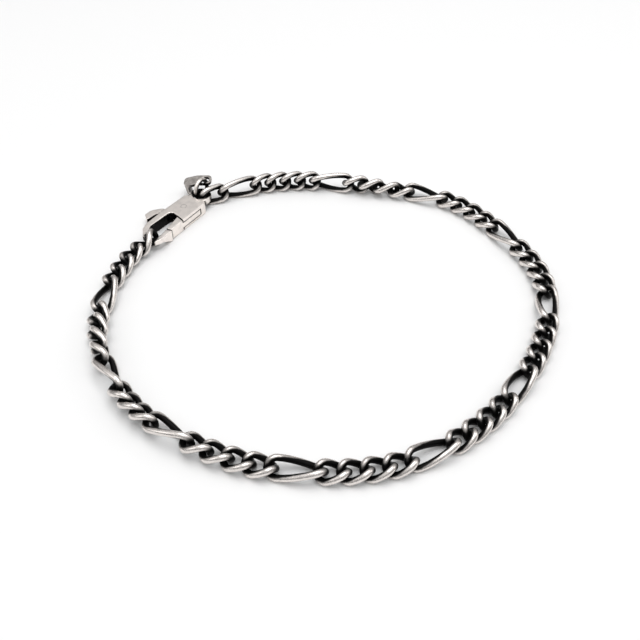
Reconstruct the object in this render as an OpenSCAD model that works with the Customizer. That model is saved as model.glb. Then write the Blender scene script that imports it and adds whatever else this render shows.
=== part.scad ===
// Link bracelet lying closed on a table: a twisted chain of short and long links,
// a flat lobster clasp with a sprung lever, and a small tag on a jump ring.
// Units are millimetres. Z is up, and the table is z = 0.

/* [Chain] */

// Diameter of the wire the links are bent from
wire_d = 0.9; // [0.8:0.01:1.0]

// Outer width of a link, in wire diameters
link_width_share = 3.83; // [3.8:0.01:4.1]

// Outer length of a short link, in wire diameters
short_share = 5.44; // [5.3:0.01:5.8]

// Outer length of a long link, in wire diameters
long_share = 9.11; // [8.5:0.01:9.8]

// Turn of each link's end out of its middle plane, degrees
link_turn = 52; // [48:1:56]

/* [Clasp] */

// Thickness of the clasp body
clasp_t = 2.1; // [2.0:0.05:2.4]

// Thickness of each of the two plates that the lever turns between
plate_t = 0.5; // [0.4:0.05:0.6]

// Thickness of the hook where the hook link rides on it
hook_t = 0.85; // [0.7:0.05:0.95]

// Diameter of the pin that the lever turns on
pin_d = 1; // [0.8:0.05:1.2]

// Gap between the lever and each plate
lever_gap = 0.05; // [0.03:0.01:0.08]

// Gap between the pin and the lever's bore, on the radius
pin_gap = 0.04; // [0.02:0.01:0.08]

// Gap between the lever's tip and the hook's tip
tip_gap = 0.15; // [0.12:0.01:0.2]

// Diameter of the hole in the clasp's eye
eye_hole_d = 2.4; // [2.3:0.05:2.6]

/* [Ends] */

// Wire of the link that joins the chain to the eye
end_wire_d = 0.95; // [0.85:0.01:1.0]

// Outer width of the end link
end_link_w = 3.3; // [3.2:0.05:3.6]

// Outer length of the link that rides in the hook
hook_link_l = 5.5; // [5.45:0.05:5.6]

// Outer width of the link that rides in the hook
hook_link_w = 3.7; // [3.6:0.05:3.85]

/* [Tag] */

// Wire of the jump ring that carries the tag
ring_wire_d = 0.75; // [0.65:0.05:0.85]

// Outer diameter of the jump ring
ring_d = 4.1; // [4.0:0.05:4.3]

// Length of the tag
tag_l = 5; // [4.8:0.1:5.4]

// Thickness of the tag's sheet
tag_t = 0.6; // [0.5:0.05:0.8]

/* [Output] */

// One sub-part, or all

/* [Hidden] */

$fn = 48;

// Everything in the chain follows the wire; this is its scale against the sizes drawn here.
size_k = wire_d / 0.9;
link_w = link_width_share * wire_d;
short_l = short_share * wire_d;
long_l = long_share * wire_d;

// Points the chain's middle line passes through, from the hook round to the eye.
route_points = [
  [-27, 18], [-30, 13.5], [-32.2, 9], [-33.5, 4], [-34, -1], [-33.4, -7],
  [-31.2, -13.5], [-27.5, -19.3], [-23, -23.8], [-17, -27.5], [-10, -30.2],
  [-3, -31.3], [4, -31.3], [11, -29.6], [17, -26.3], [22.5, -21.5],
  [27, -15.8], [30.5, -9.8], [33, -3], [33.7, 4.5], [32.2, 11],
  [28.8, 17.2], [25.5, 22.3], [21, 26.3], [15, 28.6], [8, 29.8],
  [1, 31], [-6, 31.3], [-12, 30.3], [-17, 28.6], [-20.5, 26.4]];

// The first joint's place along the route.
first_joint = 4.1;

// Each run of short links ends in one long link: [short links, slack at each joint].
runs = [[4, 0.2], [4, 0.3], [3, 0.5], [4, 0.22], [4, 0.22], [4, 0.28],
        [4, 0.2], [4, 0.2], [4, 0.28], [4, 0.36], [4, 0.42]];

// How far the chain has rolled over at a link: [link number, degrees], straight between rows.
rolls = [[0, 16], [1, 12], [2, 7], [3, 10], [4, 10], [5, 30], [6, 46], [7, 75], [8, 100],
         [9, 120], [10, 140], [12, 140], [13, 145], [14, 154], [15, 166],
         [16, 176], [17, 180], [43, 180], [44, 192], [45, 214], [46, 232],
         [47, 254], [48, 272], [50, 274], [52, 278], [53, 282]];

// The link at which the second chain node starts.
half_at = 27;

// Stations round a link and sides of its wire.
arc_stations = 6;
side_stations = 2;
wire_sides = 6;

// ---- points along the route ----

function spline(p0, p1, p2, p3, t) =
  0.5 * (2 * p1 + (p2 - p0) * t + (2 * p0 - 5 * p1 + 4 * p2 - p3) * t * t
         + (3 * p1 - p0 - 3 * p2 + p3) * t * t * t);

steps_per_span = 12;
last_point = len(route_points) - 1;

function route_point(i) =
  i < 0 ? 2 * route_points[0] - route_points[1]
  : i > last_point ? 2 * route_points[last_point] - route_points[last_point - 1]
  : route_points[i];

fine = [
  for (i = [0 : last_point - 1])
    for (k = [0 : steps_per_span - 1])
      spline(route_point(i - 1), route_point(i), route_point(i + 1), route_point(i + 2),
             k / steps_per_span),
  route_points[last_point]];

function sums(v, i = 0, total = 0) =
  i >= len(v) ? [total] : concat([total], sums(v, i + 1, total + v[i]));

fine_steps = [for (i = [1 : len(fine) - 1]) norm(fine[i] - fine[i - 1])];
fine_at = sums(fine_steps);
route_x = [for (i = [0 : len(fine) - 1]) [fine_at[i], fine[i][0]]];
route_y = [for (i = [0 : len(fine) - 1]) [fine_at[i], fine[i][1]]];

function on_route(s) = [lookup(s, route_x), lookup(s, route_y)];

// ---- the links, in order ----

kinds = [
  for (r = runs)
    for (k = [0 : r[0]])
      [k == r[0], r[1]]];

link_count = len(kinds);

// Joint to joint distance of one link.
function reach(i) =
  (kinds[i][0] ? long_l : short_l) - 2 * wire_d - kinds[i][1] * size_k;

joint_at = sums([for (i = [0 : link_count - 1]) reach(i)]);

// The route is drawn for the sizes above; it is scaled about the hook when they change.
drawn_run = 188.117;
route_k = joint_at[link_count] / drawn_run;
hook_point = on_route(first_joint);

function joint(i) =
  hook_point + route_k * (on_route(first_joint + joint_at[i] / route_k) - hook_point);

// ---- one twisted link ----

// Middle line of a flat link: [x, y] at each station, and the way it runs there.
function arc_station(a, b, mid, k) =
  let (t = mid - 90 + 180 * k / (arc_stations - 1), s = a - b, side = mid == 0 ? 1 : -1)
  [side * s + b * cos(t), b * sin(t)];

function side_station(a, b, side, k) =
  let (s = a - b, t = (k + 1) / (side_stations + 1))
  [side * (s - 2 * s * t), side * b];

function flat_link(length, width, wire) =
  let (a = (length - wire) / 2, b = (width - wire) / 2)
  concat(
    [for (k = [0 : arc_stations - 1]) arc_station(a, b, 0, k)],
    [for (k = [0 : side_stations - 1]) side_station(a, b, 1, k)],
    [for (k = [0 : arc_stations - 1]) arc_station(a, b, 180, k)],
    [for (k = [0 : side_stations - 1]) side_station(a, b, -1, k)]);

stations = 2 * (arc_stations + side_stations);

function turned(p, a, turn) =
  let (t = -turn * p[0] / a)
  [p[0], p[1] * cos(t), p[1] * sin(t)];

function unit(v) = v / norm(v);

// All corner points of one link's wire, ring after ring, in the link's own frame.
function link_corners(length, width, wire, turn) =
  let (
    a = (length - wire) / 2,
    flat = flat_link(length, width, wire),
    line = [for (p = flat) turned(p, a, turn)])
  [for (i = [0 : stations - 1])
    let (
      along = unit(line[(i + 1) % stations] - line[(i + stations - 1) % stations]),
      t = -turn * flat[i][0] / a,
      up = [0, -sin(t), cos(t)],
      n = unit(up - (up * along) * along),
      b = cross(along, n))
    for (j = [0 : wire_sides - 1])
      let (q = 360 * (j + 0.5) / wire_sides)
      line[i] + wire / 2 * (cos(q) * b + sin(q) * n)];

// Roll about x, then nose up, then heading.
function posed(p, roll, pitch, heading) =
  let (
    y1 = p[1] * cos(roll) - p[2] * sin(roll),
    z1 = p[1] * sin(roll) + p[2] * cos(roll),
    x2 = p[0] * cos(pitch) - z1 * sin(pitch),
    z2 = p[0] * sin(pitch) + z1 * cos(pitch))
  [x2 * cos(heading) - y1 * sin(heading), x2 * sin(heading) + y1 * cos(heading), z2];

function lowest(points) = min([for (p = points) p[2]]);

// A link between joints i and i + 1, resting on the table.
function placed_link(i) =
  let (
    from = joint(i),
    to = joint(i + 1),
    heading = atan2(to[1] - from[1], to[0] - from[0]),
    mid = (from + to) / 2,
    corners = [
      for (p = link_corners(kinds[i][0] ? long_l : short_l, link_w, wire_d, link_turn))
        posed(p, lookup(i, rolls), 0, heading)],
    drop = lowest(corners))
  [for (p = corners) p + [mid[0], mid[1], -drop]];

// Faces of one closed wire ring whose points start at number first.
function ring_faces(first) =
  [for (i = [0 : stations - 1])
    for (j = [0 : wire_sides - 1])
      let (
        i2 = (i + 1) % stations,
        j2 = (j + 1) % wire_sides,
        p = first + i * wire_sides + j,
        q = first + i * wire_sides + j2,
        r = first + i2 * wire_sides + j2,
        s = first + i2 * wire_sides + j)
      for (f = [[p, q, r], [p, r, s]])
        f];

module link_shells(links) {
  each_n = stations * wire_sides;
  polyhedron(
    points = [for (l = links) for (p = l) p],
    faces = [for (k = [0 : len(links) - 1]) for (f = ring_faces(k * each_n)) f],
    convexity = 10);
}

chain_links = [for (i = [1 : link_count - 1]) placed_link(i)];

// ---- the clasp's own frame: x runs from the hook to the eye, y to its far side ----

clasp_at = [-25.6, 20.6];
clasp_heading = 57.5;

function from_clasp(p) =
  [clasp_at[0] + p[0] * cos(clasp_heading) - p[1] * sin(clasp_heading),
   clasp_at[1] + p[0] * sin(clasp_heading) + p[1] * cos(clasp_heading)];

module in_clasp() {
  translate([clasp_at[0], clasp_at[1], 0])
    rotate(clasp_heading)
      children();
}

pivot = [2.6, 0.4];
eye_at = [6.75, 0.25];
eye_rim = 0.8;
eye_t = 1;
lever_t = clasp_t - 2 * plate_t - 2 * lever_gap;
lever_reach = 6.8;

// The loop's centre is moved to the origin.
all_xy = [for (l = chain_links) for (p = l) [p[0], p[1]]];
x_all = [for (p = all_xy) p[0]];
y_all = [for (p = all_xy) p[1]];
centre = [(min(x_all) + max(x_all)) / 2, (min(y_all) + max(y_all)) / 2];

module centred() {
  translate([-centre[0], -centre[1], 0])
    children();
}

// A corner rounded with radius r, as points: p is the corner between a and b.
function rounded_corner(a, p, b, r, n = 5) =
  let (
    u = unit(a - p),
    v = unit(b - p),
    half = acos(max(-1, min(1, u * v))) / 2,
    d = r / tan(half),
    c = p + unit(u + v) * r / sin(half),
    s = p + u * d - c,
    e = p + v * d - c,
    from = atan2(s[1], s[0]),
    sweep = ((atan2(e[1], e[0]) - from + 540) % 360) - 180)
  [for (k = [0 : n]) c + r * [cos(from + sweep * k / n), sin(from + sweep * k / n)]];

// An outline from rows of [x, y, corner radius].
function outline(rows) =
  let (n = len(rows))
  [for (i = [0 : n - 1])
    let (
      a = rows[(i + n - 1) % n],
      p = rows[i],
      b = rows[(i + 1) % n])
    for (q = p[2] == 0
               ? [[p[0], p[1]]]
               : rounded_corner([a[0], a[1]], [p[0], p[1]], [b[0], b[1]], p[2]))
      q];

// Rows of [x, y, corner radius], from the end block round by the far rail to the hook's tip.
body_rows = [
  [5.9, -2.1, 0.9], [5.6, 2.4, 0.8], [-0.2, 2.65, 4], [-4.6, 2.6, 1.5],
  [-6.1, 2.05, 1.2], [-7.6, 0.7, 0.9], [-8, -0.6, 0.9], [-7.8, -1.9, 0.7],
  [-6.6, -2.5, 0.8], [-3.6, -2.35, 0], [-3.9, -1.3, 0], [-5.4, -1.55, 0.4],
  [-6.6, -1.45, 0.3], [-7, -0.8, 0.3], [-6.7, 0, 0.4], [-5.6, 1, 0.5],
  [-4.7, 1.5, 0.5], [-0.2, 1.3, 0.6], [0.2, 0.7, 0.3], [0, -0.2, 0.1],
  [-0.55, -2.1, 0]];

// The lever: the gate arm, the heel round the pin, and the thumb paddle on the far side.
lever_rows = [
  [-4.4, -2.1, 0], [4, -2.1, 0.2], [3.9, 0.6, 0.9], [2.9, 1.7, 0.9],
  [1, 2.2, 0.6], [0.7, 3.7, 0.5], [-0.7, 4.9, 0.9], [-2.4, 5.1, 0.8],
  [-3.3, 4.3, 0.5], [-2.9, 3.6, 0.4], [-1.2, 3.4, 0.5], [-0.5, 2.6, 0.3],
  [0.6, 1, 0.5], [0.3, -0.4, 0.5], [-1.3, -0.75, 0.8], [-4.4, -1.3, 0]];

module plan_body() {
  difference() {
    polygon(outline(body_rows));
    intersection() {
      translate(pivot)
        circle(r = lever_reach + tip_gap);
      translate([-4.4, -2.8])
        square([3, 2]);
    }
  }
}

module plan_lever() {
  intersection() {
    polygon(outline(lever_rows));
    translate(pivot)
      circle(r = lever_reach);
  }
}

module clasp_body() {
  color("silver")
    centred()
      in_clasp()
        difference() {
          union() {
            linear_extrude(clasp_t)
              plan_body();
            translate([eye_at[0], eye_at[1], clasp_t - eye_t])
              cylinder(d = eye_hole_d + 2 * eye_rim, h = eye_t);
            translate([5, -1.2, clasp_t - eye_t])
              cube([1, 3, eye_t]);
          }
          // hole of the eye
          translate([eye_at[0], eye_at[1], -1])
            cylinder(d = eye_hole_d, h = clasp_t + 2);
          // room for the links under the eye's side of the end block
          translate([eye_at[0], eye_at[1], -1])
            cylinder(d = eye_hole_d + 0.6, h = clasp_t - eye_t + 1);
          // the hook is thinner than the body where the hook link rides
          translate([0, 4, 0])
            rotate([90, 0, 0])
              linear_extrude(8)
                polygon([[-9, -1], [-4.1, -1], [-4.1, 0], [-6.3, clasp_t - hook_t],
                         [-9, clasp_t - hook_t]]);
          // the lever's slot between the plates
          translate([-1.6, -3, plate_t])
            cube([5.7, 3.5, clasp_t - 2 * plate_t]);
          translate([-0.1, 0, plate_t])
            cube([4.3, 1.95, clasp_t - 2 * plate_t]);
          translate([-0.6, 1.2, plate_t])
            cube([3.4, 2.3, clasp_t - 2 * plate_t]);
          // the pin's hole
          translate([pivot[0], pivot[1], -1])
            cylinder(d = pin_d, h = clasp_t + 2);
        }
}

module clasp_gate() {
  color("gainsboro")
    centred()
      in_clasp()
        difference() {
          union() {
            translate([0, 0, plate_t + lever_gap])
              linear_extrude(lever_t)
                plan_lever();
            // full thickness in front of the plates
            translate([0, 0, lever_gap])
              linear_extrude(clasp_t - 2 * lever_gap)
                intersection() {
                  plan_lever();
                  polygon([[-5, -3], [-0.65 - tip_gap, -2.5], [-0.55 - tip_gap, -2.1],
                           [0 - tip_gap, -0.2], [0 - tip_gap, 0.5], [-5, 0.5]]);
                }
          }
          translate([pivot[0], pivot[1], -1])
            cylinder(r = pin_d / 2 + pin_gap, h = clasp_t + 2);
        }
}

module clasp_pin() {
  color("darkgray")
    centred()
      in_clasp()
        translate([pivot[0], pivot[1], 0])
          cylinder(d = pin_d, h = clasp_t);
}

// ---- the two end links ----

hook_link_at = [-8.28, -0.46];
hook_link_z = 1.6;
hook_link_turn = 76;

module hook_link() {
  at = from_clasp(hook_link_at);
  color("silver")
    centred()
      link_shells([[
        for (p = link_corners(hook_link_l, hook_link_w, wire_d, hook_link_turn))
          posed(p, 38, -9.5, clasp_heading + 176) + [at[0], at[1], hook_link_z]]]);
}

end_from = joint(link_count);
end_to = from_clasp([eye_at[0] - 0.1, eye_at[1] - 0.4]);
end_span = norm(end_to - end_from);
end_heading = atan2(end_to[1] - end_from[1], end_to[0] - end_from[0]);
end_link_z = 1.64;
end_link_turn = 35;

module end_link() {
  // from the middle of the last joint to the middle of the wire inside the eye
  length = end_span + end_wire_d * 1.5;
  mid = end_from + (end_to - end_from) * (0.5 - (end_wire_d / 4) / end_span);
  color("silver")
    centred()
      link_shells([[
        for (p = link_corners(length, end_link_w, end_wire_d, end_link_turn))
          posed(p, 110, 0, end_heading) + [mid[0], mid[1], end_link_z]]]);
}

module chain_hook_half() {
  color("silver")
    centred()
      link_shells([for (i = [0 : round(half_at) - 2]) chain_links[i]]);
}

module chain_eye_half() {
  color("silver")
    centred()
      link_shells([for (i = [round(half_at) - 1 : link_count - 2]) chain_links[i]]);
}

// ---- the tag and its ring ----

ring_at = [-22.05, 28.15, 2.08];
ring_turn = -27.5;
ring_tilt = 85;
tag_hole = [-21.44, 29.48, 2.9];
tag_heading = 176;
tag_droop = 9;
tag_lean = -6;
tag_hole_d = 1.55;
tag_rim = 0.35;

module tag_ring() {
  color("silver")
    centred()
      translate(ring_at)
        rotate([0, 0, ring_turn])
          rotate([0, ring_tilt, 0])
            rotate_extrude()
              translate([(ring_d - ring_wire_d) / 2, 0])
                circle(d = ring_wire_d);
}

// Rows of [x, y, corner radius]; x runs along the tag away from its hole.
tag_end = tag_hole_d / 2 + tag_rim;
tag_rows = [[-tag_end, -1.15, 0.8], [1.6, -1.5, 1.5], [tag_l - tag_end, -1.1, 0.7],
            [tag_l - tag_end, 0.5, 0.6], [tag_l - 2.1, 1.2, 0.7], [1.3, 0.8, 1],
            [-tag_end, tag_end, 0.7]];
lip_drop = 1.8;

module tag() {
  color("silver")
    centred()
      translate(tag_hole)
        rotate([0, 0, tag_heading])
          rotate([tag_lean, tag_droop, 0])
            translate([0, 0, -tag_t / 2])
              difference() {
                union() {
                  linear_extrude(tag_t)
                    polygon(outline(tag_rows));
                  // the edge turned down at the tip
                  translate([0, 0, -lip_drop])
                    linear_extrude(lip_drop + tag_t / 2)
                      intersection() {
                        polygon(outline(tag_rows));
                        translate([tag_l - tag_end - 0.9, -0.6])
                          square([2, 4]);
                      }
                }
                translate([0, 0, -1])
                  cylinder(d = tag_hole_d, h = tag_t + 2);
              }
}

chain_hook_half();
chain_eye_half();
hook_link();
end_link();
clasp_body();
clasp_gate();
clasp_pin();
tag_ring();
tag();
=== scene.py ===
"""A link bracelet of darkened silver, lying closed on a pale table.

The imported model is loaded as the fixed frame. Each sub-assembly is a class that
builds its pieces round that frame in millimetres, in the plan the route is drawn
in, and hands them over in metres, in the frame's own place.
"""

import logging
import math
from collections.abc import Sequence
from dataclasses import dataclass, field
from enum import Enum

import bmesh
import bpy
from bmesh.types import BMEdge, BMesh, BMVert
from mathutils import Matrix, Vector
from mathutils.bvhtree import BVHTree

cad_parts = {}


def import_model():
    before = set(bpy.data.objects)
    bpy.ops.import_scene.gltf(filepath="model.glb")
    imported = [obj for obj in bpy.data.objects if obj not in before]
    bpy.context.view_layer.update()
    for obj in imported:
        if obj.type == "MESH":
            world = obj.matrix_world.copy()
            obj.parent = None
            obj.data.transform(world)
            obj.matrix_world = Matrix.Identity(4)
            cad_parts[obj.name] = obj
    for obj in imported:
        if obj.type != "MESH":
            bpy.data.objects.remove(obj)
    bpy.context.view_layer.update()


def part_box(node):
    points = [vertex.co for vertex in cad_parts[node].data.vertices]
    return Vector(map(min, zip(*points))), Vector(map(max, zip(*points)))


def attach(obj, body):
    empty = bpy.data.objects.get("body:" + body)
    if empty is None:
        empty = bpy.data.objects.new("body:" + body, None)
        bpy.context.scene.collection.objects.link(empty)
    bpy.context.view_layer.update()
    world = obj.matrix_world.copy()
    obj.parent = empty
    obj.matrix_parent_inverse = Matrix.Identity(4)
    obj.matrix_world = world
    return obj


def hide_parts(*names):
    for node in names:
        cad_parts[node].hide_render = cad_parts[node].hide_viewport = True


LOG = logging.getLogger("bracelet")
MM = 0.001
# Attribute of how far each point is rubbed bright. Where metal shelters a point, it
# also holds painted shade.
WEAR_AND_SHADE = "rubbed"

Socket = bpy.types.NodeSocket
# Two numbers that belong together, such as a place in a plan or a range's ends.
Pair = tuple[float, float]
# Two opposite corners of a rectangle in a plan, in millimetres.
Area = tuple[Pair, Pair]
# Three that belong together: a place, a colour, or a corner of an outline in a plan
# and the radius it is rounded with.
Triple = tuple[float, float, float]

# How far a cutting tool reaches past what it cuts, in millimetres.
PAST = 1.0
# Points of a cut mesh that are nearer than this are one, in millimetres.
MERGED = 0.002
# Faces of a cut mesh that turn by less than this are one, in degrees.
FLAT = 1.0
# Edges that turn by more degrees than these are rounded, and stay crisp in shading.
ROUNDED = 32.0
CRISP = 30.0
# Distance between the planes that a piece is cut along for its wear, in millimetres.
WEAR_STEP = 0.35
# Most of a noise lies between these two values.
NOISE_RANGE = (0.25, 0.75)
# Sockets of a mix node that is set to colours: its two inputs and its result.
COLOUR_A, COLOUR_B, COLOUR_OUT = 6, 7, 2


class Body(Enum):
    """The bodies of the frame that a piece can ride on."""

    BRACELET = "bracelet"
    LEVER = "lever"


class Slot(Enum):
    """The material slots of the record."""

    OXIDISED = "oxidised_silver"
    SATIN = "satin_silver"


# Small helpers for places and outlines.


def lookup(at: float, rows: Sequence[Pair]) -> float:
    """Straight-line value of a table at a place, held at its ends.

    Args:
        at: The place.
        rows: Rows of place and value, in order of place.

    Returns:
        The value there.
    """
    if at <= rows[0][0]:
        return rows[0][1]
    for (start, low), (end, high) in zip(rows, rows[1:]):
        if at <= end:
            return low + (high - low) * (at - start) / (end - start)
    return rows[-1][1]


def turn(degrees: float, axis: str) -> Matrix:
    """A rotation by so many degrees about one axis."""
    return Matrix.Rotation(math.radians(degrees), 4, axis)


def posed(roll: float, pitch: float, heading: float) -> Matrix:
    """A rotation: roll about X, then nose up, then heading, in degrees."""
    return turn(heading, "Z") @ turn(-pitch, "Y") @ turn(roll, "X")


def moved(mesh: BMesh, place: Matrix) -> None:
    """Takes a mesh to its place."""
    bmesh.ops.transform(mesh, matrix=place, verts=mesh.verts)


def in_scene(name: str, data: bpy.types.ID) -> bpy.types.Object:
    """A new object of some data, in the scene."""
    made = bpy.data.objects.new(name, data)
    bpy.context.scene.collection.objects.link(made)
    return made


def mesh_in_scene(name: str, mesh: BMesh) -> bpy.types.Object:
    """A new object of a mesh, which is freed, in the scene."""
    data = bpy.data.meshes.new(name)
    mesh.to_mesh(data)
    mesh.free()
    return in_scene(name, data)


# Finishes.


@dataclass(frozen=True)
class Nodes:
    """Adds the nodes that work out a value to a node tree.

    Attributes:
        tree: The node tree.
    """

    tree: bpy.types.NodeTree

    def noise(self, place: Socket, size: float, detail: float) -> Socket:
        """Noise whose blotches are about size millimetres across."""
        noise = self.tree.nodes.new("ShaderNodeTexNoise")
        noise.inputs["Scale"].default_value = 1 / (size * MM)
        noise.inputs["Detail"].default_value = detail
        self.tree.links.new(place, noise.inputs["Vector"])
        return noise.outputs["Fac"]

    def scaled(self, value: Socket, span: float) -> Socket:
        """A noise value turned to a shift from minus half to plus half of span."""
        node = self.tree.nodes.new("ShaderNodeMath")
        node.operation = "MULTIPLY_ADD"
        self.tree.links.new(value, node.inputs[0])
        node.inputs[1].default_value = span
        node.inputs[2].default_value = -span / 2
        return node.outputs[0]

    def sum(self, *values: Socket) -> Socket:
        """The sum of the values."""
        total = values[0]
        for value in values[1:]:
            node = self.tree.nodes.new("ShaderNodeMath")
            self.tree.links.new(total, node.inputs[0])
            self.tree.links.new(value, node.inputs[1])
            total = node.outputs[0]
        return total

    def ranged(
        self, value: Socket, start: Pair, goal: Pair, way: str = "SMOOTHSTEP"
    ) -> Socket:
        """A value taken from one range to another, held at its ends."""
        node = self.tree.nodes.new("ShaderNodeMapRange")
        node.interpolation_type = way
        self.tree.links.new(value, node.inputs["Value"])
        names = ("From Min", "From Max", "To Min", "To Max")
        for name, end in zip(names, (*start, *goal)):
            node.inputs[name].default_value = end
        return node.outputs["Result"]


@dataclass(frozen=True)
class SilverFinish:
    """Silver whose hollows hold a dark oxide film and whose open faces are rubbed
    bright.

    The film's colour also paints shade where metal shelters a point.

    Attributes:
        slot: The record's slot that the finish dresses.
        bright: Colour of the rubbed metal.
        bright_above: Value over which the metal is bare of film and of painted shade.
        blotch: Shift of wear that the broad blotches give.
        rough: Roughness of the rubbed metal.
        grain: Depth of the fine surface grain, in millimetres.
        patina_and_shade: Colour of the dark film, also painted as shade where metal
            shelters.
        dark_below: Value under which the dark colour is whole, film and painted shade
            alike.
        broad_size: Size of the broad blotches, in millimetres.
        fine_size: Size of the fine speckle, in millimetres.
        speckle: Shift that the speckle gives, against that of the blotches.
        dullest: Tone of the dullest rubbed metal, against the brightest.
        film_metal: How metallic the dark film is.
        film_rough: Roughness of the dark film.
        rough_spread: Span of the roughness that the speckle gives.
        relief: Strength of the surface's relief.
        fine_relief: The speckle's share in that relief.
    """

    slot: Slot
    bright: Triple
    bright_above: float
    blotch: float
    rough: float
    grain: float
    # The dark film's colour, also painted as shade where metal shelters a point.
    patina_and_shade: Triple = (0.003, 0.0026, 0.0025)
    dark_below: float = 0.2
    broad_size: float = 0.8
    fine_size: float = 0.13
    speckle: float = 0.6
    dullest: float = 0.86
    film_metal: float = 0.85
    film_rough: float = 0.5
    rough_spread: float = 0.16
    relief: float = 0.5
    fine_relief: float = 0.5

    def material(self) -> bpy.types.Material:
        """The finish as a node material that reads wear, with its painted shade, and
        object coordinates.
        """
        made = bpy.data.materials.new(self.slot.value)
        made.use_nodes = True
        tree = made.node_tree
        nodes = Nodes(tree)
        shader = tree.nodes["Principled BSDF"]
        place = tree.nodes.new("ShaderNodeTexCoord").outputs["Object"]
        opened = tree.nodes.new("ShaderNodeAttribute")
        opened.attribute_name = WEAR_AND_SHADE

        broad = nodes.noise(place, self.broad_size, detail=4.0)
        fine = nodes.noise(place, self.fine_size, detail=3.0)
        border = nodes.sum(
            opened.outputs["Fac"],
            nodes.scaled(broad, self.blotch),
            nodes.scaled(fine, self.blotch * self.speckle),
        )
        # Bright where the metal is bare, and dark where it holds the film and where
        # shade is painted.
        clean_and_unshaded = nodes.ranged(border, (self.dark_below, self.bright_above), (0.0, 1.0))

        tone = nodes.ranged(broad, NOISE_RANGE, (self.dullest, 1.0))
        rubbed = tree.nodes.new("ShaderNodeMix")
        rubbed.data_type = "RGBA"
        rubbed.blend_type = "MULTIPLY"
        rubbed.inputs["Factor"].default_value = 1.0
        rubbed.inputs[COLOUR_A].default_value = (*self.bright, 1.0)
        tree.links.new(tone, rubbed.inputs[COLOUR_B])
        colour = tree.nodes.new("ShaderNodeMix")
        colour.data_type = "RGBA"
        tree.links.new(clean_and_unshaded, colour.inputs["Factor"])
        colour.inputs[COLOUR_A].default_value = (*self.patina_and_shade, 1.0)
        tree.links.new(rubbed.outputs[COLOUR_OUT], colour.inputs[COLOUR_B])
        tree.links.new(colour.outputs[COLOUR_OUT], shader.inputs["Base Color"])

        metal = nodes.ranged(clean_and_unshaded, (0.0, 1.0), (self.film_metal, 1.0))
        tree.links.new(metal, shader.inputs["Metallic"])
        film = nodes.ranged(clean_and_unshaded, (0.0, 1.0), (self.film_rough, self.rough))
        rough = nodes.sum(film, nodes.scaled(fine, self.rough_spread))
        tree.links.new(rough, shader.inputs["Roughness"])

        bump = tree.nodes.new("ShaderNodeBump")
        bump.inputs["Strength"].default_value = self.relief
        bump.inputs["Distance"].default_value = self.grain * MM
        height = nodes.sum(broad, nodes.scaled(fine, self.fine_relief))
        tree.links.new(height, bump.inputs["Height"])
        tree.links.new(bump.outputs["Normal"], shader.inputs["Normal"])
        return made


OXIDISED = SilverFinish(
    slot=Slot.OXIDISED,
    bright=(0.83, 0.78, 0.745),
    bright_above=0.95,
    blotch=0.45,
    rough=0.26,
    grain=0.02,
)
SATIN = SilverFinish(
    slot=Slot.SATIN,
    bright=(0.96, 0.895, 0.845),
    bright_above=0.96,
    blotch=0.26,
    rough=0.32,
    grain=0.014,
)


# Pieces.


@dataclass
class Workshop:
    """Holds the frame's place, the materials and the pieces that are made.

    Attributes:
        pin: Plan point of the clasp's pin, which the frame also has.
        to_frame: Millimetres of the plan to metres of the frame.
        finishes: The material of each slot.
        pieces: Every piece so far.
    """

    pin: Vector
    to_frame: Matrix = field(init=False)
    finishes: dict[Slot, bpy.types.Material] = field(init=False)
    pieces: list[bpy.types.Object] = field(init=False, default_factory=list)

    def __post_init__(self) -> None:
        """Finds the plan's place in the frame from the pin, and makes the materials."""
        low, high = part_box("clasp_pin")
        middle = (low + high) / 2
        shift = Vector((middle.x - self.pin.x * MM, middle.y - self.pin.y * MM, 0.0))
        self.to_frame = Matrix.Translation(shift) @ Matrix.Scale(MM, 4)
        self.finishes = {f.slot: f.material() for f in (OXIDISED, SATIN)}

    def hand_over(
        self,
        name: str,
        mesh: BMesh,
        stands_for: str,
        slot: Slot,
        body: Body = Body.BRACELET,
        sharp: float = 180.0,
    ) -> None:
        """Turns a mesh in millimetres into a finished piece of the frame.

        Args:
            name: The piece's name.
            mesh: Its mesh, which is freed.
            stands_for: The node it replaces.
            slot: The record's slot that it takes its finish from.
            body: The body that it rides on.
            sharp: Edges that turn by more than this, in degrees, stay crisp.
        """
        moved(mesh, self.to_frame)
        bmesh.ops.recalc_face_normals(mesh, faces=mesh.faces)
        if mesh.calc_volume(signed=True) < 0:
            bmesh.ops.reverse_faces(mesh, faces=mesh.faces)
        for edge in mesh.edges:
            edge.smooth = edge.calc_face_angle(0.0) < math.radians(sharp)
        for face in mesh.faces:
            face.smooth = True
        made = mesh_in_scene(name, mesh)
        made.data.materials.append(self.finishes[slot])
        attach(made, body.value)
        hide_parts(stands_for)
        self.pieces.append(made)
        LOG.info("%s: %d faces on %s", name, len(made.data.polygons), body.value)


# The links.


def edges_of(verts: Sequence[BMVert]) -> list[BMEdge]:
    """The edges at some points, each once, in the same order in each run."""
    return list(dict.fromkeys(edge for vert in verts for edge in vert.link_edges))


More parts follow.
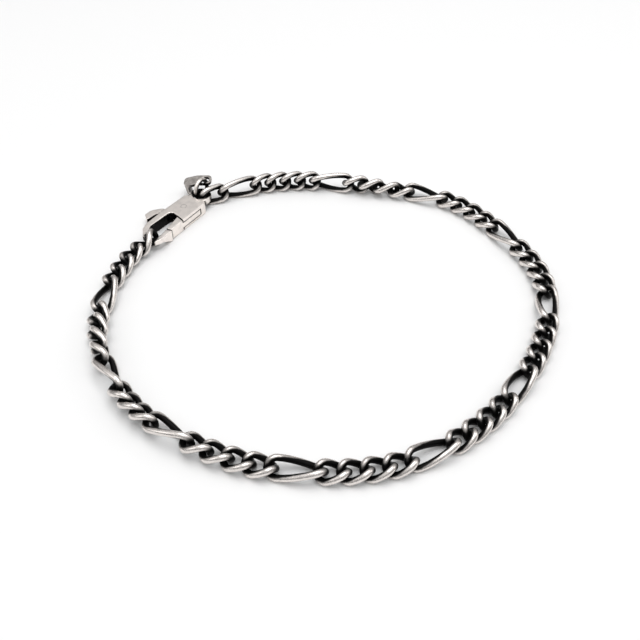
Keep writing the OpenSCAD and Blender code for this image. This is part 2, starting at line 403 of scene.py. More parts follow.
@dataclass(frozen=True)
class TwistedLink:
    """An oval link of round wire whose ends are turned out of its middle plane.

    Attributes:
        length: Outer length, in millimetres.
        width: Outer width.
        wire: Diameter of the wire.
        turned: Turn of each end, in degrees.
        fullness: The drawn wire's diameter, as a share of the nominal one.
        stations: Sections of the wire round the link.
        sides: Sides of the wire.
    """

    length: float
    width: float
    wire: float
    turned: float
    fullness: float = 1.055
    stations: int = 44
    sides: int = 16

    @property
    def reach(self) -> float:
        """From the link's middle to the wire's middle at an end."""
        return (self.length - self.wire) / 2

    def _flat(self, share: float) -> Pair:
        """Place on the flat oval of the wire's middle, from one end round to itself."""
        bend = (self.width - self.wire) / 2
        straight = self.reach - bend
        quarter = math.pi * bend / 2
        along = (share % 1.0) * (4 * quarter + 4 * straight)
        half = 2 * quarter + 2 * straight
        side = 1 if along < half else -1
        along -= 0 if side == 1 else half
        if along < quarter:
            angle = along / bend
            x, y = straight + bend * math.cos(angle), bend * math.sin(angle)
        elif along < quarter + 2 * straight:
            x, y = straight - (along - quarter), bend
        else:
            angle = math.pi / 2 + (along - quarter - 2 * straight) / bend
            x, y = -straight + bend * math.cos(angle), bend * math.sin(angle)
        return side * x, side * y

    def _centre(self, share: float) -> Vector:
        """Point of the wire's middle line."""
        x, y = self._flat(share)
        angle = math.radians(-self.turned * x / self.reach)
        return Vector((x, y * math.cos(angle), y * math.sin(angle)))

    def _section(self, share: float) -> Matrix:
        """Place of the wire's section, its normal along the wire."""
        step = 0.25 / self.stations
        along = (self._centre(share + step) - self._centre(share - step)).normalized()
        x, _ = self._flat(share)
        angle = math.radians(-self.turned * x / self.reach)
        up = Vector((0.0, -math.sin(angle), math.cos(angle)))
        up = (up - up.dot(along) * along).normalized()
        rows = Matrix((along.cross(up), up, along)).transposed().to_4x4()
        return Matrix.Translation(self._centre(share)) @ rows

    def build(self) -> BMesh:
        """The link in its own frame, a closed ring of wire."""
        mesh = bmesh.new()
        place = self._section(0.0)
        radius = self.wire * self.fullness / 2
        ring = bmesh.ops.create_circle(
            mesh, segments=self.sides, radius=radius, matrix=place
        )["verts"]
        first = edges_of(ring)
        last = first
        for station in range(1, self.stations):
            grown = bmesh.ops.extrude_edge_only(mesh, edges=last)["geom"]
            ring = [item for item in grown if isinstance(item, BMVert)]
            last = [
                item
                for item in grown
                if isinstance(item, BMEdge) and all(vert in ring for vert in item.verts)
            ]
            goal = self._section(station / self.stations)
            bmesh.ops.transform(mesh, matrix=goal @ place.inverted(), verts=ring)
            place = goal
        bmesh.ops.bridge_loops(mesh, edges=first + last)
        bmesh.ops.recalc_face_normals(mesh, faces=mesh.faces)
        mesh.normal_update()
        rubbed = mesh.verts.layers.float.new(WEAR_AND_SHADE)
        for vert in mesh.verts:
            outwards = Vector((0.0, vert.co.y, vert.co.z))
            vert[rubbed] = vert.normal.dot(outwards) / (self.width / 2)
        return mesh


@dataclass
class Route:
    """The plan line that the chain's joints lie on.

    Attributes:
        points: The chosen points it passes through, in millimetres.
        steps: Steps of the curve between two points.
    """

    points: Sequence[Pair]
    steps: int = 12
    _xs: list[Pair] = field(init=False, default_factory=list)
    _ys: list[Pair] = field(init=False, default_factory=list)

    def __post_init__(self) -> None:
        """Walks along the curve once and keeps how far each step is."""
        chosen = [Vector(point) for point in self.points]
        before, after = 2 * chosen[0] - chosen[1], 2 * chosen[-1] - chosen[-2]
        corners = [before, *chosen, after]
        places = [
            self._curve(corners[span : span + 4], k / self.steps)
            for span in range(len(chosen) - 1)
            for k in range(self.steps)
        ]
        places.append(chosen[-1])
        walked, previous = 0.0, places[0]
        for here in places:
            walked += (here - previous).length
            self._xs.append((walked, here.x))
            self._ys.append((walked, here.y))
            previous = here

    @staticmethod
    def _curve(corners: list[Vector], t: float) -> Vector:
        """The curve through the middle two of four points."""
        p0, p1, p2, p3 = corners
        return 0.5 * (
            2 * p1
            + (p2 - p0) * t
            + (2 * p0 - 5 * p1 + 4 * p2 - p3) * t**2
            + (3 * p1 - p0 - 3 * p2 + p3) * t**3
        )

    def at(self, distance: float) -> Vector:
        """The plan point so far along the route."""
        return Vector((lookup(distance, self._xs), lookup(distance, self._ys)))


@dataclass
class Chain:
    """The twisted chain: runs of short links, each closed by one long link.

    Attributes:
        wire: Diameter of the wire, in millimetres.
        width: Outer width of a link.
        short: Outer length of a short link.
        long: Outer length of a long link.
        turned: Turn of each link's end, in degrees.
        points: The chosen points of the line that the joints lie on.
        first_joint: Where the first joint is along the route.
        runs: Short links of each run, and the slack at each of its joints.
        rolls: How far the chain has rolled over, by link number, in degrees.
        half_at: The link that the second half starts with.
    """

    wire: float = 0.9
    width: float = 3.447
    short: float = 4.896
    long: float = 8.199
    turned: float = 52.0
    points: tuple[Pair, ...] = (
        (-27, 18), (-30, 13.5), (-32.2, 9), (-33.5, 4), (-34, -1), (-33.4, -7),
        (-31.2, -13.5), (-27.5, -19.3), (-23, -23.8), (-17, -27.5), (-10, -30.2),
        (-3, -31.3), (4, -31.3), (11, -29.6), (17, -26.3), (22.5, -21.5),
        (27, -15.8), (30.5, -9.8), (33, -3), (33.7, 4.5), (32.2, 11),
        (28.8, 17.2), (25.5, 22.3), (21, 26.3), (15, 28.6), (8, 29.8),
        (1, 31), (-6, 31.3), (-12, 30.3), (-17, 28.6), (-20.5, 26.4),
    )
    first_joint: float = 4.1
    runs: tuple[tuple[int, float], ...] = (
        (4, 0.2), (4, 0.3), (3, 0.5), (4, 0.22), (4, 0.22), (4, 0.28),
        (4, 0.2), (4, 0.2), (4, 0.28), (4, 0.36), (4, 0.42),
    )
    rolls: tuple[Pair, ...] = (
        (0, 16), (1, 12), (2, 7), (3, 10), (4, 10), (5, 30), (6, 46), (7, 75), (8, 100),
        (9, 120), (10, 140), (12, 140), (13, 145), (14, 154), (15, 166),
        (16, 176), (17, 180), (43, 180), (44, 192), (45, 214), (46, 232),
        (47, 254), (48, 272), (50, 274), (52, 278), (53, 282),
    )
    half_at: int = 27
    _route: Route = field(init=False)
    _joints: list[float] = field(init=False, default_factory=list)
    _long_ones: list[bool] = field(init=False, default_factory=list)

    def __post_init__(self) -> None:
        """Lays out the route and works out how far along it each joint is."""
        self._route = Route(self.points)
        walked = self.first_joint
        self._joints.append(walked)
        for count, slack in self.runs:
            for k in range(count + 1):
                is_long = k == count
                length = self.long if is_long else self.short
                walked += length - 2 * self.wire - slack
                self._joints.append(walked)
                self._long_ones.append(is_long)

    @property
    def last_joint(self) -> Vector:
        """Plan point of the joint with the end link."""
        return self._route.at(self._joints[-1])

    def build(self, shop: Workshop) -> None:
        """Makes both halves of the chain.

        Args:
            shop: The workshop that takes the pieces.
        """
        kinds = {}
        for is_long, length in ((False, self.short), (True, self.long)):
            shaped = TwistedLink(length, self.width, self.wire, self.turned).build()
            kinds[is_long] = bpy.data.meshes.new("link")
            shaped.to_mesh(kinds[is_long])
            shaped.free()
        count = len(self._long_ones)
        for name, links in (
            ("chain_hook_half", range(1, self.half_at)),
            ("chain_eye_half", range(self.half_at, count)),
        ):
            half = bmesh.new()
            for index in links:
                self._lay(half, kinds[self._long_ones[index]], index)
            shop.hand_over(f"{name}_links", half, name, Slot.OXIDISED)
        for kind in kinds.values():
            bpy.data.meshes.remove(kind)

    def _lay(self, half: BMesh, kind: bpy.types.Mesh, index: int) -> None:
        """Adds one link between its joints, resting on the table.

        Args:
            half: The mesh that it joins.
            kind: The link's shape.
            index: Its number in the chain.
        """
        start = self._route.at(self._joints[index])
        end = self._route.at(self._joints[index + 1])
        run = end - start
        heading = math.degrees(math.atan2(run.y, run.x))
        middle = (start + end) / 2
        there = len(half.verts)
        half.from_mesh(kind)
        half.verts.ensure_lookup_table()
        verts = half.verts[there:]
        roll = lookup(index, self.rolls)
        bmesh.ops.transform(half, matrix=posed(roll, 0, heading), verts=verts)
        drop = min(vert.co.z for vert in verts)
        bmesh.ops.translate(half, vec=(middle.x, middle.y, -drop), verts=verts)


# The clasp.


def outlined(rows: Sequence[Triple], bottom: float, top: float) -> BMesh:
    """A plate cut to an outline with rounded corners.

    Args:
        rows: The outline's corners and their radii, in millimetres.
        bottom: Height of its underside.
        top: Height of its upper side.

    Returns:
        The closed plate.
    """
    mesh = bmesh.new()
    verts = [mesh.verts.new((x, y, bottom)) for x, y, _ in rows]
    edges = [mesh.edges.new((a, b)) for a, b in zip(verts, verts[1:] + verts[:1])]
    bmesh.ops.contextual_create(mesh, geom=edges)
    for index, (x, y, radius) in enumerate(rows):
        if radius == 0:
            continue
        beside = rows[index - 1], rows[(index + 1) % len(rows)]
        u, v = (Vector((a - x, b - y, 0)) for a, b, _ in beside)
        reach = radius / math.tan(u.angle(v) / 2)
        bmesh.ops.bevel(
            mesh,
            geom=[verts[index]],
            offset=reach,
            offset_type="OFFSET",
            affect="VERTICES",
            segments=6,
            profile=0.5,
            material=-1,
        )
    grown = bmesh.ops.extrude_face_region(mesh, geom=mesh.faces[:])["geom"]
    risen = [item for item in grown if isinstance(item, BMVert)]
    bmesh.ops.translate(mesh, vec=(0, 0, top - bottom), verts=risen)
    bmesh.ops.recalc_face_normals(mesh, faces=mesh.faces)
    return mesh


def block(low: Triple, high: Triple) -> BMesh:
    """A block between two corners."""
    mesh = bmesh.new()
    size = Vector(high) - Vector(low)
    middle = (Vector(high) + Vector(low)) / 2
    place = Matrix.Translation(middle) @ Matrix.Diagonal((*size, 1.0))
    bmesh.ops.create_cube(mesh, size=1.0, matrix=place)
    return mesh


def disc(x: float, y: float, radius: float, bottom: float, top: float) -> BMesh:
    """An upright cylinder with fine sides."""
    mesh = bmesh.new()
    bmesh.ops.create_cone(
        mesh,
        cap_ends=True,
        segments=96,
        radius1=radius,
        radius2=radius,
        depth=top - bottom,
        matrix=Matrix.Translation((x, y, (top + bottom) / 2)),
    )
    return mesh


class Cut(Enum):
    """What a tool does to the piece it is put to."""

    ADD = "UNION"
    TAKE = "DIFFERENCE"
    KEEP = "INTERSECT"


def worked(piece: BMesh, tools: list[tuple[Cut, BMesh]]) -> BMesh:
    """A piece after each tool has been put to it, in order.

    Args:
        piece: The piece, which is freed.
        tools: What each tool does, and its mesh, which is freed.

    Returns:
        The new closed mesh.
    """
    for cut, tool in tools:
        piece = _cut(piece, cut, tool)
    bmesh.ops.remove_doubles(piece, verts=piece.verts, dist=MERGED)
    bmesh.ops.dissolve_limit(
        piece,
        angle_limit=math.radians(FLAT),
        verts=piece.verts,
        edges=piece.edges,
        delimit={"NORMAL"},
    )
    return piece


def _cut(piece: BMesh, cut: Cut, tool: BMesh) -> BMesh:
    """One tool put to a piece. Both are freed."""
    holder = mesh_in_scene("piece", piece)
    helper = mesh_in_scene("tool", tool)
    modifier = holder.modifiers.new("cut", "BOOLEAN")
    modifier.operation = cut.value
    modifier.solver = "EXACT"
    modifier.object = helper
    made = bmesh.new()
    made.from_object(holder, bpy.context.evaluated_depsgraph_get())
    for used in (holder, helper):
        bpy.data.meshes.remove(used.data)
    _put_in_order(made)
    return made


def _put_in_order(mesh: BMesh) -> None:
    """Numbers a cut mesh's parts by their places, so that each run is alike."""
    unlike = Vector((1.0, 17.3, 311.9))
    mesh.verts.sort(key=lambda vert: vert.co.dot(unlike))
    mesh.edges.sort(key=lambda edge: sum(v.co.dot(unlike) for v in edge.verts))
    mesh.faces.sort(key=lambda face: face.calc_center_median().dot(unlike))
    for parts in (mesh.verts, mesh.edges, mesh.faces):
        parts.index_update()


def softened(mesh: BMesh, radius: float) -> None:
    """Rounds the crisp edges of a mesh.

    Args:
        mesh: The mesh.
        radius: Radius of the rounding, in millimetres.
    """
    crisp = [e for e in mesh.edges if e.calc_face_angle(0.0) > math.radians(ROUNDED)]
    bmesh.ops.bevel(
        mesh,
        geom=crisp,
        offset=radius,
        offset_type="OFFSET",
        affect="EDGES",
        segments=3,
        profile=0.5,
        material=-1,
        clamp_overlap=False,
    )
    bmesh.ops.recalc_face_normals(mesh, faces=mesh.faces)


def gridded(mesh: BMesh) -> None:
    """Cuts a mesh along even planes, so that wear can vary over its flat faces."""
    for axis in range(3):
        ends = [vert.co[axis] for vert in mesh.verts]
        normal = Vector((0, 0, 0))
        normal[axis] = 1.0
        for k in range(1, math.ceil((max(ends) - min(ends)) / WEAR_STEP)):
            point = normal * (min(ends) + k * WEAR_STEP)
            geom = mesh.verts[:] + mesh.edges[:] + mesh.faces[:]
            bmesh.ops.bisect_plane(
                mesh, geom=geom, dist=0.001, plane_co=point, plane_no=normal
            )
    bmesh.ops.triangulate(mesh, faces=[f for f in mesh.faces if len(f.verts) > 4])


@dataclass
class Clasp:
    """The lobster clasp: two plates on one rail with a hook, a pin and a sprung lever.

    Its own plan runs from the hook to the eye along X, with Y to its far side.

    Attributes:
        at: Plan point of its middle.
        heading: Its heading in the plan, in degrees.
        thick: Thickness of the body.
        plate: Thickness of each plate.
        hook: Thickness of the hook.
        gap: Gap between the lever and a plate.
        pin_d: Diameter of the pin.
        pin_gap: Gap round the pin.
        pivot: The pin's place.
        reach: From the pin to the lever's tip.
        tip_gap: Gap between the lever's tip and the hook's.
        eye: The eye's place.
        eye_hole: Diameter of its hole.
        eye_rim: Width of its rim.
        eye_thick: Thickness of its rim.
        eye_relief: How much wider the eye's hole is below its rim.
        edge: Radius of the rounded edges.
        ease: Worn off the lever's tip, in millimetres.
        body_rows: The body's outline.
        lever_rows: The lever's outline.
        neck: What joins the eye's rim to the body.
        slots: Where the body is hollow between its plates, for the lever.
        tip_area: Where the body is cut back round the lever's tip.
        plate_front: The plates' edge by the window, which the arm keeps clear of.
        slope: Where the slope under the hook starts, and where it ends.
    """

    at: Pair = (-25.6, 20.6)
    heading: float = 57.5
    thick: float = 2.1
    plate: float = 0.5
    hook: float = 0.85
    gap: float = 0.05
    pin_d: float = 1.0
    pin_gap: float = 0.04
    pivot: Pair = (2.6, 0.4)
    reach: float = 6.8
    tip_gap: float = 0.15
    eye: Pair = (6.75, 0.25)
    eye_hole: float = 2.4
    eye_rim: float = 0.8
    eye_thick: float = 1.0
    eye_relief: float = 0.6
    edge: float = 0.13
    ease: float = 0.1
    body_rows: tuple[Triple, ...] = (
        (5.9, -2.1, 0.9), (5.6, 2.4, 0.8), (-0.2, 2.65, 4), (-4.6, 2.6, 1.5),
        (-6.1, 2.05, 1.2), (-7.6, 0.7, 0.9), (-8, -0.6, 0.9), (-7.8, -1.9, 0.7),
        (-6.6, -2.5, 0.8), (-3.6, -2.35, 0), (-3.9, -1.3, 0), (-5.4, -1.55, 0.4),
        (-6.6, -1.45, 0.3), (-7, -0.8, 0.3), (-6.7, 0, 0.4), (-5.6, 1, 0.5),
        (-4.7, 1.5, 0.5), (-0.2, 1.3, 0.6), (0.2, 0.7, 0.3), (0, -0.2, 0.1),
        (-0.55, -2.1, 0),
    )
    lever_rows: tuple[Triple, ...] = (
        (-4.4, -2.1, 0), (4, -2.1, 0.2), (3.9, 0.6, 0.9), (2.9, 1.7, 0.9),
        (1, 2.2, 0.6), (0.7, 3.7, 0.5), (-0.7, 4.9, 0.9), (-2.4, 5.1, 0.8),
        (-3.3, 4.3, 0.5), (-2.9, 3.6, 0.4), (-1.2, 3.4, 0.5), (-0.5, 2.6, 0.3),
        (0.6, 1, 0.5), (0.3, -0.4, 0.5), (-1.3, -0.75, 0.8), (-4.4, -1.3, 0),
    )
    neck: Area = ((5, -1.2), (6, 1.8))
    slots: tuple[Area, ...] = (
        ((-1.6, -3), (4.1, 0.5)), ((-0.1, 0), (4.2, 1.95)), ((-0.6, 1.2), (2.8, 3.5)),
    )
    tip_area: Area = ((-4.4, -2.8), (-1.4, -0.8))
    plate_front: tuple[Pair, ...] = (
        (-0.65, -2.5), (-0.55, -2.1), (0, -0.2), (0, 0.5),
    )
    slope: Pair = (-4.1, -6.3)

    @property
    def place(self) -> Matrix:
        """The clasp's own plan in the bracelet's plan."""
        return Matrix.Translation((*self.at, 0.0)) @ turn(self.heading, "Z")

    def plan_point(self, x: float, y: float) -> Vector:
        """A point of the clasp's own plan in the bracelet's plan."""
        return self.place @ Vector((x, y, 0.0))

    def build(self, shop: Workshop) -> None:
        """Makes the body, the lever and the pin, whose end lies flush in the plate."""
        body = self._body()
        softened(body, self.edge)
        pin_hole = self._through(self.pivot, self.pin_d / 2)
        body = worked(body, [(Cut.TAKE, pin_hole)])
        self._finish(shop, "clasp_frame", body, "clasp_body", Body.BRACELET)
        lever = self._lever()
        softened(lever, self.edge)
        self._finish(shop, "clasp_lever", lever, "clasp_gate", Body.LEVER)
        pin = disc(*self.pivot, self.pin_d / 2, 0.0, self.thick)
        self._finish(shop, "clasp_rivet", pin, "clasp_pin", Body.BRACELET)

    def _finish(
        self, shop: Workshop, name: str, mesh: BMesh, node: str, body: Body
    ) -> None:
        """Cuts a piece fine enough for its wear, places it and hands it over."""
        gridded(mesh)
        moved(mesh, self.place)
        shop.hand_over(name, mesh, node, Slot.SATIN, body, sharp=CRISP)

    def _through(self, at: Pair, radius: float) -> BMesh:
        """A cylinder that goes right through the clasp."""
        return disc(*at, radius, -PAST, self.thick + PAST)

    def _body(self) -> BMesh:
        """The body, with its hook, its eye, the lever's slots and room for its tip."""
        top, low = self.thick, self.plate
        inner = top - self.eye_thick
        rim = self.eye_hole / 2 + self.eye_rim
        relief = (self.eye_hole + self.eye_relief) / 2
        near, far = self.tip_area
        around = block((*near, -PAST / 2), (*far, top + PAST / 2))
        tip = self._through(self.pivot, self.reach + self.tip_gap)
        hollows = [block((*a, low), (*b, top - low)) for a, b in self.slots]
        return worked(
            outlined(self.body_rows, 0.0, top),
            [
                (Cut.ADD, disc(*self.eye, rim, inner, top)),
                (Cut.ADD, block((*self.neck[0], inner), (*self.neck[1], top))),
                (Cut.TAKE, self._through(self.eye, self.eye_hole / 2)),
                (Cut.TAKE, disc(*self.eye, relief, -PAST, inner)),
                (Cut.TAKE, self._thinning(top - self.hook)),
                *((Cut.TAKE, hollow) for hollow in hollows),
                (Cut.TAKE, worked(tip, [(Cut.KEEP, around)])),
            ],
        )

    def _thinning(self, rise: float) -> BMesh:
        """What is cut from under the hook: a slope up, then level."""
        start, level = self.slope
        end = min(x for x, _, _ in self.body_rows) - PAST
        half = max(abs(y) for _, y, _ in self.body_rows) + PAST
        side = [
            (end, -PAST, 0), (start, -PAST, 0), (start, 0, 0), (level, rise, 0),
            (end, rise, 0),
        ]
        mesh = outlined(side, -half, half)
        moved(mesh, turn(90, "X"))
        return mesh

    def _lever(self) -> BMesh:
        """The lever, thinned where it runs between the plates."""
        low = self.plate + self.gap
        end = min(x for x, _, _ in self.lever_rows) - PAST
        below = min(y for _, y, _ in self.lever_rows) - PAST
        front = [(x - self.tip_gap, y, 0) for x, y in self.plate_front]
        front = [(end, below, 0), *front, (end, front[-1][1], 0)]
        arm = worked(
            outlined(self.lever_rows, self.gap, self.thick - self.gap),
            [(Cut.KEEP, outlined(front, -PAST, self.thick + PAST))],
        )
        hole = self.pin_d / 2 + self.pin_gap
        return worked(
            outlined(self.lever_rows, low, self.thick - low),
            [
                (Cut.ADD, arm),
                (Cut.KEEP, self._through(self.pivot, self.reach - self.ease)),
                (Cut.TAKE, self._through(self.pivot, hole)),
            ],
        )


# The links at the clasp, and the tag.


@dataclass
class EndLinks:
    """The wider link that rides in the hook and the thick link in the eye.

    Attributes:
        wire: Wire of the hook's link, in millimetres.
        end_wire: Wire of the eye's link.
        end_width: Outer width of the eye's link.
        hook_length: Outer length of the hook's link.
        hook_width: Outer width of the hook's link.
        hook_turn: Turn of each end of the hook's link, in degrees.
        hook_at: Its middle in the clasp's plan, and its height.
        hook_pose: Its roll, its pitch and its heading against the clasp's.
        end_turn: Turn of each end of the eye's link, in degrees.
        end_roll: Its roll.
        end_height: Height of its middle.
        end_goal: From the eye's middle to where the eye's link is held.
    """

    wire: float = 0.9
    end_wire: float = 0.95
    end_width: float = 3.3
    hook_length: float = 5.5
    hook_width: float = 3.7
    hook_turn: float = 76.0
    hook_at: Triple = (-8.28, -0.46, 1.6)
    hook_pose: Triple = (38.0, -9.5, 176.0)
    end_turn: float = 35.0
    end_roll: float = 110.0
    end_height: float = 1.64
    end_goal: Pair = (-0.1, -0.4)

    def build(self, shop: Workshop, clasp: Clasp, chain: Chain) -> None:
        """Makes both links.

        Args:
            shop: The workshop that takes the pieces.
            clasp: The clasp that they hang on.
            chain: The chain that they join to it.
        """
        hook = TwistedLink(self.hook_length, self.hook_width, self.wire, self.hook_turn)
        roll, pitch, heading = self.hook_pose
        at = clasp.plan_point(*self.hook_at[:2]) + Vector((0, 0, self.hook_at[2]))
        place = Matrix.Translation(at) @ posed(roll, pitch, clasp.heading + heading)
        self._hang(shop, hook, place, "hook_link")

        start = chain.last_joint
        over, past = self.end_goal
        goal = clasp.plan_point(clasp.eye[0] + over, clasp.eye[1] + past).to_2d()
        run = goal - start
        before, after = self.end_wire, self.end_wire / 2
        length = run.length + before + after
        end = TwistedLink(length, self.end_width, self.end_wire, self.end_turn)
        middle = start + run * (0.5 - (before - after) / 2 / run.length)
        heading = math.degrees(math.atan2(run.y, run.x))
        at = Vector((*middle, self.end_height))
        place = Matrix.Translation(at) @ posed(self.end_roll, 0, heading)
        self._hang(shop, end, place, "end_link")

    @staticmethod
    def _hang(shop: Workshop, link: TwistedLink, place: Matrix, node: str) -> None:
        """Makes a link at its place."""
        mesh = link.build()
        moved(mesh, place)
        shop.hand_over(f"{node}_wire", mesh, node, Slot.OXIDISED)


@dataclass
class Tag:
    """The small bare tag with a turned edge, on its jump ring.

    Attributes:
        ring_at: Middle of the ring.
        ring_turn: The ring's turn in the plan, in degrees.
        ring_tilt: Its tilt.
        ring_d: Its outer diameter.
        ring_wire: Its wire.
        hole_at: Middle of the tag's hole.
        heading: The tag's heading.
        droop: How far its tip hangs down.
        lean: How far it leans over.
        length: Its length.
        thick: Thickness of its sheet.
        hole: Diameter of its hole.
        rim: Metal left round the hole.
        lip: How far the edge is turned down.
        lip_back: How far the turned edge runs back from the tip.
        lip_side: Where it starts across the tag.
        edge: Radius of its rounded edges.
        worn: Outward share that all its points are worn with.
    """

    ring_at: Triple = (-22.05, 28.15, 2.08)
    ring_turn: float = -27.5
    ring_tilt: float = 85.0
    ring_d: float = 4.1
    ring_wire: float = 0.75
    hole_at: Triple = (-21.44, 29.48, 2.9)
    heading: float = 176.0
    droop: float = 9.0
    lean: float = -6.0
    length: float = 5.0
    thick: float = 0.6
    hole: float = 1.55
    rim: float = 0.35
    lip: float = 1.8
    lip_back: float = 0.9
    lip_side: float = -0.6
    edge: float = 0.12
    worn: float = 0.42

    def build(self, shop: Workshop) -> None:
        """Makes the ring and the tag."""
        shop.hand_over("tag_jump_ring", self._ring(), "tag_ring", Slot.SATIN)
        shop.hand_over("tag_plate", self._plate(), "tag", Slot.SATIN, sharp=CRISP)

    def _ring(self) -> BMesh:
        """A round ring spun from the wire's section."""
        mesh = bmesh.new()
        radius = (self.ring_d - self.ring_wire) / 2
        section = Matrix.Translation((radius, 0, 0)) @ turn(90, "X")
        made = bmesh.ops.create_circle(
            mesh, segments=16, radius=self.ring_wire / 2, matrix=section
        )["verts"]
        bmesh.ops.spin(
            mesh,
            geom=made + edges_of(made),
            cent=(0, 0, 0),
            axis=(0, 0, 1),
            angle=math.tau,
            steps=64,
            use_merge=True,
        )
        bmesh.ops.remove_doubles(mesh, verts=mesh.verts, dist=MERGED)
        bmesh.ops.recalc_face_normals(mesh, faces=mesh.faces)
        mesh.normal_update()
        rubbed = mesh.verts.layers.float.new(WEAR_AND_SHADE)
        for vert in mesh.verts:
            outwards = Vector((vert.co.x, vert.co.y, 0.0))
            vert[rubbed] = vert.normal.dot(outwards) / radius
        place = (
            Matrix.Translation(self.ring_at)
            @ turn(self.ring_turn, "Z")
            @ turn(self.ring_tilt, "Y")
        )
        moved(mesh, place)
        return mesh

    def _plate(self) -> BMesh:
        """The sheet, its turned edge and its hole."""
        end = self.hole / 2 + self.rim
        tip = self.length - end
        rows = [
            (-end, -1.15, 0.8), (1.6, -1.5, 1.5), (tip, -1.1, 0.7), (tip, 0.5, 0.6),
            (self.length - 2.1, 1.2, 0.7), (1.3, 0.8, 1), (-end, end, 0.7),
        ]
        corner = block(
            (tip - self.lip_back, self.lip_side, -self.lip - PAST),
            (tip + PAST, self.length, self.thick + PAST),
        )
        lip = worked(outlined(rows, -self.lip, self.thick / 2), [(Cut.KEEP, corner)])
        hole = disc(0, 0, self.hole / 2, -PAST, self.thick + PAST)
        mesh = worked(
            outlined(rows, 0.0, self.thick), [(Cut.ADD, lip), (Cut.TAKE, hole)]
        )
        softened(mesh, self.edge)
        gridded(mesh)
        kept = mesh.verts.layers.float.new(WEAR_AND_SHADE)
        for vert in mesh.verts:
            vert[kept] = self.worn
        place = (
            Matrix.Translation(self.hole_at)
            @ turn(self.heading, "Z")
            @ turn(self.droop, "Y")
            @ turn(self.lean, "X")
            @ Matrix.Translation((0, 0, -self.thick / 2))
        )
        moved(mesh, place)
        return mesh


# The wear and painted shade, the light and the view.


@dataclass(frozen=True)
class WearAndShade:
    """How far each point of the bracelet is rubbed bright, and how far shade is painted
    on it.

    A link is rubbed where it faces away from the chain's own line, and any piece
    where it is open to all sides. Where metal shelters a point, the dark film's colour
    is laid on it. This is partly the oxide that hollows hold and partly painted shade
    between the parts and in the clasp's window and slits.

    Attributes:
        rays: Directions looked in from each point.
        reach: How far metal still shelters a point of any piece but the clasp's.
        lift: How far off the surface a look starts, in millimetres.
        sheltered: Openness at which nothing is rubbed there, so film and painted shade
            are whole.
        exposed: Openness from which all is rubbed there, and no shade is painted.
        plate_reach: How far metal still shelters a point of the clasp.
        plate_sheltered: Openness at which nothing is rubbed on the clasp, so film and
            painted shade are whole.
        plate_exposed: Openness from which all is rubbed on the clasp, and no shade is
            painted.
        link_low: Outward share at which a link isn't rubbed.
        link_high: Outward share from which a link is fully rubbed.
        plain: Brightness of an open flat face against that of a ridge, which is partly
            rubbed and partly a painted highlight.
        ridge: Fall beside a point from which it counts as a ridge.
    """

    rays: int = 36
    reach: float = 3.0
    lift: float = 0.02
    sheltered: float = 0.4
    exposed: float = 0.9
    plate_reach: float = 5.0
    plate_sheltered: float = 0.76
    plate_exposed: float = 0.95
    link_low: float = 0.0
    link_high: float = 0.75
    plain: float = 0.95
    ridge: float = 0.12

    def _directions(self) -> list[Vector]:
        """Even directions over a dome, denser towards its top."""
        golden = math.pi * (3 - math.sqrt(5))
        out = []
        for k in range(self.rays):
            height = math.sqrt(1 - (k + 0.5) / self.rays)
            flat = math.sqrt(1 - height * height)
            across, along = math.cos(golden * k), math.sin(golden * k)
            out.append(Vector((flat * across, flat * along, height)))
        return out

    def measure(self, pieces: list[bpy.types.Object]) -> None:
        """Keeps the wear of each point of each piece, with its painted shade, as an
        attribute.

        Args:
            pieces: The bracelet's pieces, all in the frame's own place.
        """
        verts, faces = [], []
        for piece in pieces:
            start = len(verts)
            verts += [vert.co.copy() for vert in piece.data.vertices]
            for face in piece.data.polygons:
                faces.append([start + index for index in face.vertices])
        tree = BVHTree.FromPolygons(verts, faces)
        dome = self._directions()
        lift = self.lift * MM
        for piece in pieces:
            kept = piece.data.attributes.get(WEAR_AND_SHADE)
            reach = (self.plate_reach if kept is None else self.reach) * MM
            values = []
            for vert in piece.data.vertices:
                basis = vert.normal.to_track_quat("Z", "Y")
                origin = vert.co + vert.normal * lift
                # Metal near a point darkens it. This is partly the film that hollows
                # hold and partly painted shade.
                shade = 0.0
                for direction in dome:
                    hit = tree.ray_cast(origin, basis @ direction, reach)[3]
                    shade += 0.0 if hit is None else 1 - (hit / reach) ** 2
                values.append(1 - shade / self.rays)
            if kept is None:
                kept = piece.data.attributes.new(WEAR_AND_SHADE, "FLOAT", "POINT")
                ends = self.plate_sheltered, self.plate_exposed
                # Ridges of the clasp are coloured a little brighter. This is partly
                # rubbing and partly a painted highlight.
                ridges = self._ridges(piece.data)
                shares = [self.plain + (1 - self.plain) * ridge for ridge in ridges]
            else:
                ends = self.sheltered, self.exposed
                facing = [0.0] * len(values)
                kept.data.foreach_get("value", facing)
                shares = [self._share(f, self.link_low, self.link_high) for f in facing]
            worn = [self._share(v, *ends) * share for v, share in zip(values, shares)]
            kept.data.foreach_set("value", worn)

    def _ridges(self, mesh: bpy.types.Mesh) -> list[float]:
        """How sharply the surface falls away beside each point, from 0 to 1."""
        falls = [0.0] * len(mesh.vertices)
        for edge in mesh.edges:
            first, second = (mesh.vertices[index] for index in edge.vertices)
            run = (second.co - first.co).normalized()
            falls[first.index] = max(falls[first.index], -run.dot(first.normal))
            falls[second.index] = max(falls[second.index], run.dot(second.normal))
        return [self._share(fall, 0.0, self.ridge) for fall in falls]

    @staticmethod
    def _share(value: float, low: float, high: float) -> float:
        """How far a value is from low to high, held at 0 and 1."""
        return min(1.0, max(0.0, (value - low) / (high - low)))


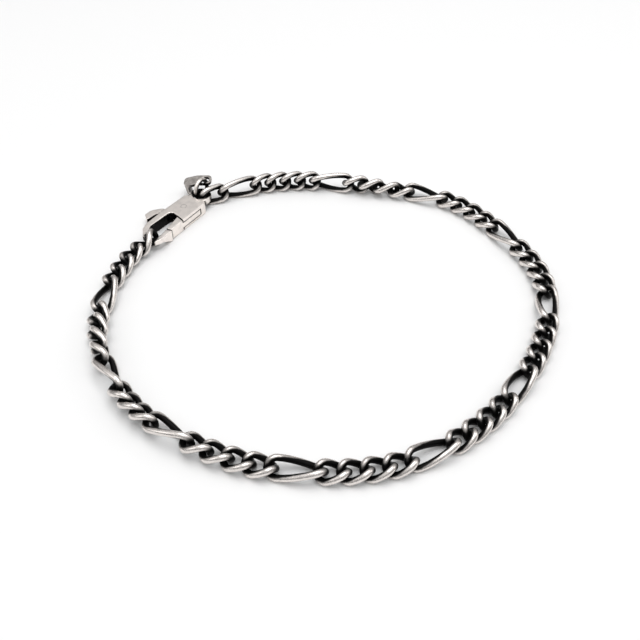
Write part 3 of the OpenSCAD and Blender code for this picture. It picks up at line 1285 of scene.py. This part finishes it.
@dataclass(frozen=True)
class Studio:
    """The pale table, the soft lights and the camera.

    Attributes:
        elevation: The camera's height above the table, in degrees.
        distance: From the camera to the point it looks at, in metres.
        target: The point it looks at.
        focal_px: Focal length, in pixels of the photograph's frame.
        frame_px: Side of the photograph's frame.
        sensor: Side of the camera's sensor, in millimetres.
        sight: Nearest and farthest distance that the camera sees, in metres.
        table_half: Half the table's side, in metres.
        table_white: How white the table is.
        table_rough: Its roughness.
        rise: Rise up to which the room is darkest, and from which it is brightest.
        glow: The room's light at both.
        lamps: Name, place, side in metres and power in watts of each square lamp.
    """

    elevation: float = 43.7
    distance: float = 0.1171
    target: Triple = (-0.00099, -0.00378, 0.0009)
    focal_px: float = 789.0
    frame_px: float = 640.0
    sensor: float = 36.0
    sight: Pair = (0.005, 20.0)
    table_half: float = 2.0
    table_white: float = 0.88
    table_rough: float = 0.8
    rise: Pair = (0.1, 0.8)
    glow: Pair = (0.18, 0.8)
    lamps: tuple[tuple[str, Triple, float, float], ...] = (
        ("above", (0.02, 0.02, 0.45), 0.4, 1.1),
        ("left", (-0.5, -0.1, 0.3), 0.3, 0.3),
        ("right", (0.5, 0.1, 0.3), 0.3, 0.3),
    )

    def camera(self) -> None:
        """Puts the camera at the photograph's angle."""
        data = bpy.data.cameras.new("camera")
        data.sensor_width = self.sensor
        data.lens = data.sensor_width * self.focal_px / self.frame_px
        data.clip_start, data.clip_end = self.sight
        camera = in_scene("camera", data)
        angle = math.radians(self.elevation)
        back = Vector((0.0, -math.cos(angle), math.sin(angle)))
        camera.location = Vector(self.target) + back * self.distance
        camera.rotation_euler = (-back).to_track_quat("-Z", "Y").to_euler()
        bpy.context.scene.camera = camera

    def table(self) -> None:
        """A wide pale table top."""
        mesh = bmesh.new()
        bmesh.ops.create_grid(mesh, x_segments=1, y_segments=1, size=self.table_half)
        top = mesh_in_scene("table_top", mesh)
        paint = bpy.data.materials.new("table_white")
        paint.use_nodes = True
        shader = paint.node_tree.nodes["Principled BSDF"]
        shader.inputs["Base Color"].default_value = (*[self.table_white] * 3, 1.0)
        shader.inputs["Roughness"].default_value = self.table_rough
        top.data.materials.append(paint)

    def lights(self) -> None:
        """A pale room with a wide soft light above and two softer ones beside."""
        world = bpy.data.worlds.new("room")
        world.use_nodes = True
        tree = world.node_tree
        sky = tree.nodes["Background"]
        sky.inputs["Color"].default_value = (1.0, 1.0, 1.0, 1.0)
        where = tree.nodes.new("ShaderNodeTexCoord").outputs["Generated"]
        parts = tree.nodes.new("ShaderNodeSeparateXYZ")
        tree.links.new(where, parts.inputs[0])
        light = Nodes(tree).ranged(parts.outputs["Z"], self.rise, self.glow, "LINEAR")
        tree.links.new(light, sky.inputs["Strength"])
        bpy.context.scene.world = world
        for name, at, side, watts in self.lamps:
            data = bpy.data.lights.new(name, "AREA")
            data.size = side
            data.energy = watts
            lamp = in_scene(name, data)
            lamp.location = at
            lamp.rotation_euler = (-Vector(at)).to_track_quat("-Z", "Y").to_euler()
        bpy.context.scene.view_settings.view_transform = "Standard"


def main() -> None:
    """Loads the frame, dresses it and writes how large it and the pieces are."""
    logging.basicConfig(level=logging.INFO, format="%(name)s: %(message)s")
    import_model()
    studio = Studio()
    studio.camera()
    studio.table()
    studio.lights()
    clasp = Clasp()
    chain = Chain()
    shop = Workshop(clasp.plan_point(*clasp.pivot))
    chain.build(shop)
    clasp.build(shop)
    EndLinks().build(shop, clasp, chain)
    Tag().build(shop)
    WearAndShade().measure(shop.pieces)
    LOG.info("%d pieces", len(shop.pieces))


if __name__ == "__main__":
    main()
